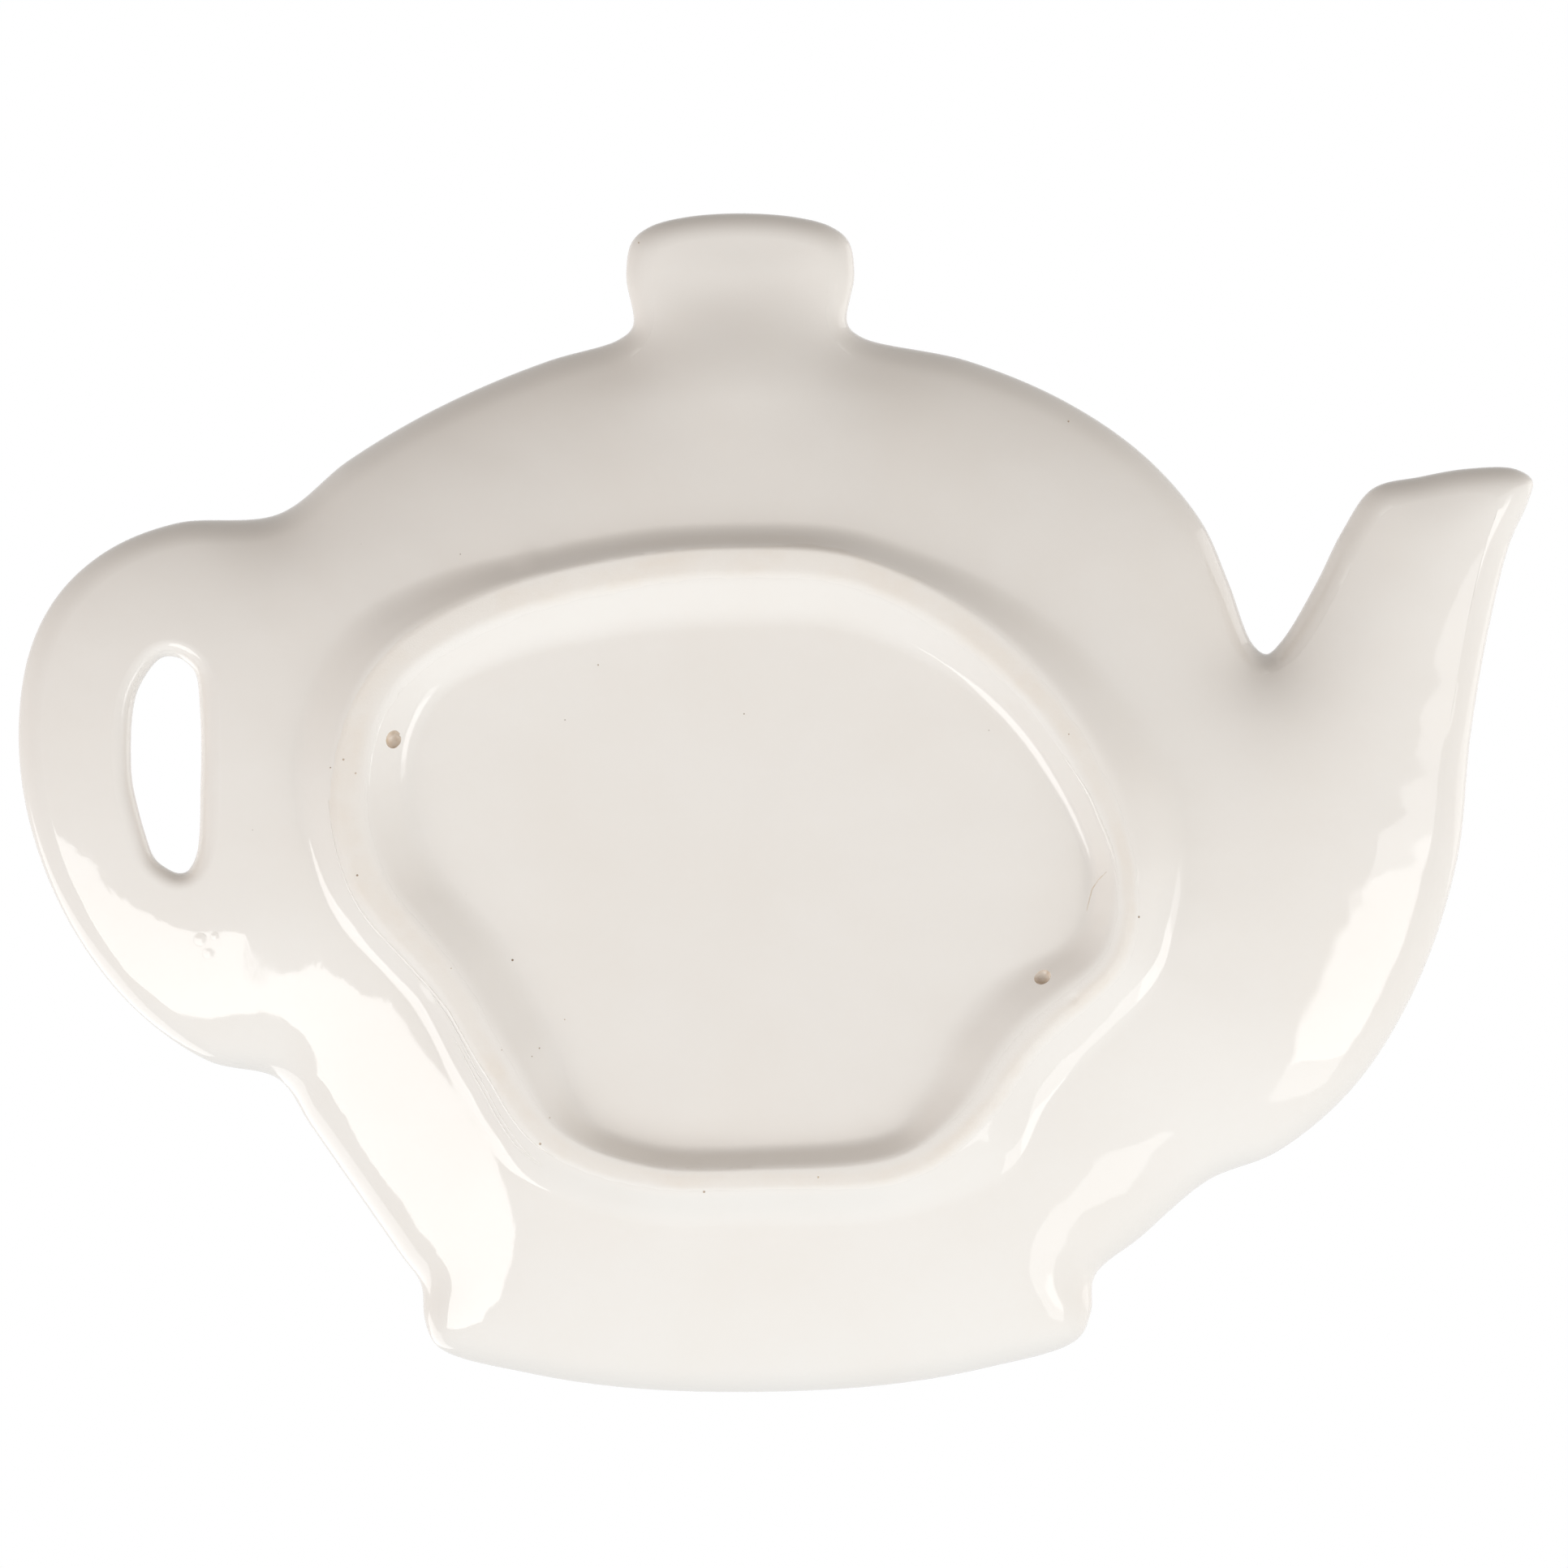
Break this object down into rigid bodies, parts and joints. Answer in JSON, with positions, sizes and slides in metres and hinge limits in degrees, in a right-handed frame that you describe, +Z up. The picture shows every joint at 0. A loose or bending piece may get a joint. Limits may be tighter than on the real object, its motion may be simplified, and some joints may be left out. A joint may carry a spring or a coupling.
{
  "type": "tea bag rest",
  "caption": "Shallow glazed ceramic dish in the outline of a teapot, with an eye through its handle and a dry foot ring underneath, for resting a used tea bag.",
  "frame": {"origin": "middle of the dish's outline, on the rest face of the foot ring", "axes": "+Z up out of the well, +X towards the handle, +Y towards the lid knob"},
  "size_m": [0.12, 0.0934, 0.0127],
  "materials": {
    "glazed_clay": "gloss",
    "dry_clay": "matte"
  },
  "bodies": {
    "root": {"dish": "glazed_clay", "foot_ring": "dry_clay", "luting_slip": "glazed_clay"}
  },
  "joints": []
}
